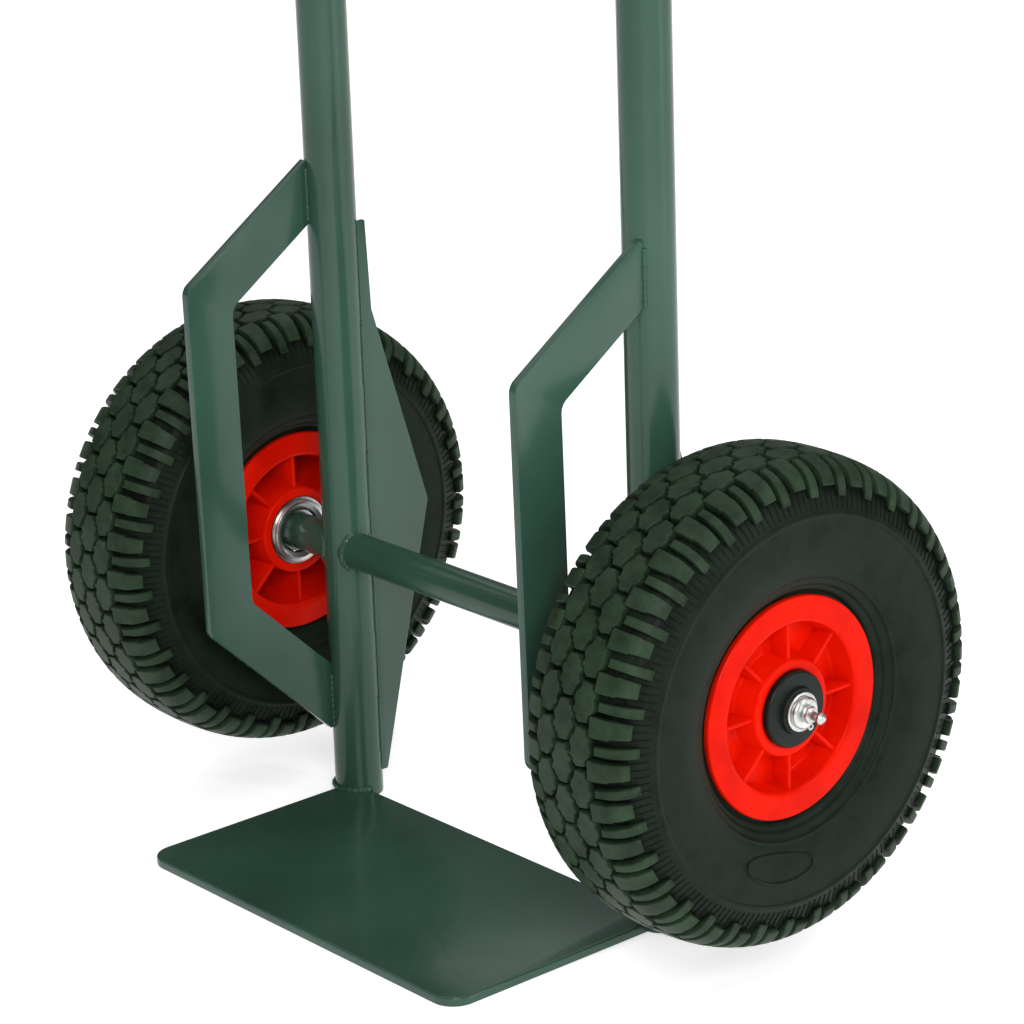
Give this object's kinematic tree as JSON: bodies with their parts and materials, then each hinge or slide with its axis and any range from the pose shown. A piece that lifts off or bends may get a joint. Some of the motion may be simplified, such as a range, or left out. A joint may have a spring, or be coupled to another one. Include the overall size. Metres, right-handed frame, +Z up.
{
  "type": "hand truck",
  "caption": "Upright two-wheeled hand truck: round tube frame with a flat toe plate, wheel guards, gussets, rear grips and pneumatic wheels on plastic rims.",
  "frame": {"origin": "on the floor, midway between the rails, in the plane of the rails' centre lines", "axes": "+X to the right along the axle, -Y to the front where the toe plate carries the load, +Y to the rear where the user stands, +Z up along the rails"},
  "size_m": [0.51, 0.302, 1.1521],
  "materials": {
    "frame_paint": "gloss enamel over steel",
    "zinc_steel": "zinc plated",
    "bearing_steel": "ground",
    "rim_plastic": "moulded, glossy",
    "tyre_rubber": "matt rubber",
    "tube_rubber": "smooth rubber",
    "grip_rubber": "soft matt",
    "black_plastic": "moulded"
  },
  "bodies": {
    "frame": {"toe_plate": "frame_paint", "axle_shaft": "zinc_steel", "axle_cross_tube": "frame_paint", "lower_cross_tube": "frame_paint", "middle_cross_tube": "frame_paint", "upper_cross_tube": "frame_paint", "left_rail": "frame_paint", "left_wheel_guard": "frame_paint", "left_gusset_plate": "frame_paint", "left_grip": "grip_rubber", "left_axle_sleeve": "frame_paint", "left_hub_spacer": "zinc_steel", "left_hub_washer": "black_plastic", "left_circlip": "zinc_steel", "left_grease_nipple": "zinc_steel", "left_inner_inner_race": "bearing_steel", "left_outer_inner_race": "bearing_steel", "right_rail": "frame_paint", "right_wheel_guard": "frame_paint", "right_gusset_plate": "frame_paint", "right_grip": "grip_rubber", "right_axle_sleeve": "frame_paint", "right_hub_spacer": "zinc_steel", "right_hub_washer": "black_plastic", "right_circlip": "zinc_steel", "right_grease_nipple": "zinc_steel", "right_inner_inner_race": "bearing_steel", "right_outer_inner_race": "bearing_steel"},
    "left_wheel": {"left_rim": "rim_plastic", "left_tyre": "tyre_rubber", "left_inner_tube": "tube_rubber", "left_valve_stem": "tube_rubber", "left_seal_ring": "zinc_steel", "left_inner_outer_race": "bearing_steel", "left_outer_outer_race": "bearing_steel", "left_inner_bearing_balls": "bearing_steel", "left_outer_bearing_balls": "bearing_steel"},
    "right_wheel": {"right_rim": "rim_plastic", "right_tyre": "tyre_rubber", "right_inner_tube": "tube_rubber", "right_valve_stem": "tube_rubber", "right_seal_ring": "zinc_steel", "right_inner_outer_race": "bearing_steel", "right_outer_outer_race": "bearing_steel", "right_inner_bearing_balls": "bearing_steel", "right_outer_bearing_balls": "bearing_steel"}
  },
  "joints": [
    {"name": "left_wheel_spin", "type": "hinge", "parent": "frame", "child": "left_wheel", "pos_m": [-0.203, -0.002, 0.152], "axis": [1, 0, 0], "continuous": true},
    {"name": "right_wheel_spin", "type": "hinge", "parent": "frame", "child": "right_wheel", "pos_m": [0.203, -0.002, 0.152], "axis": [1, 0, 0], "continuous": true}
  ]
}
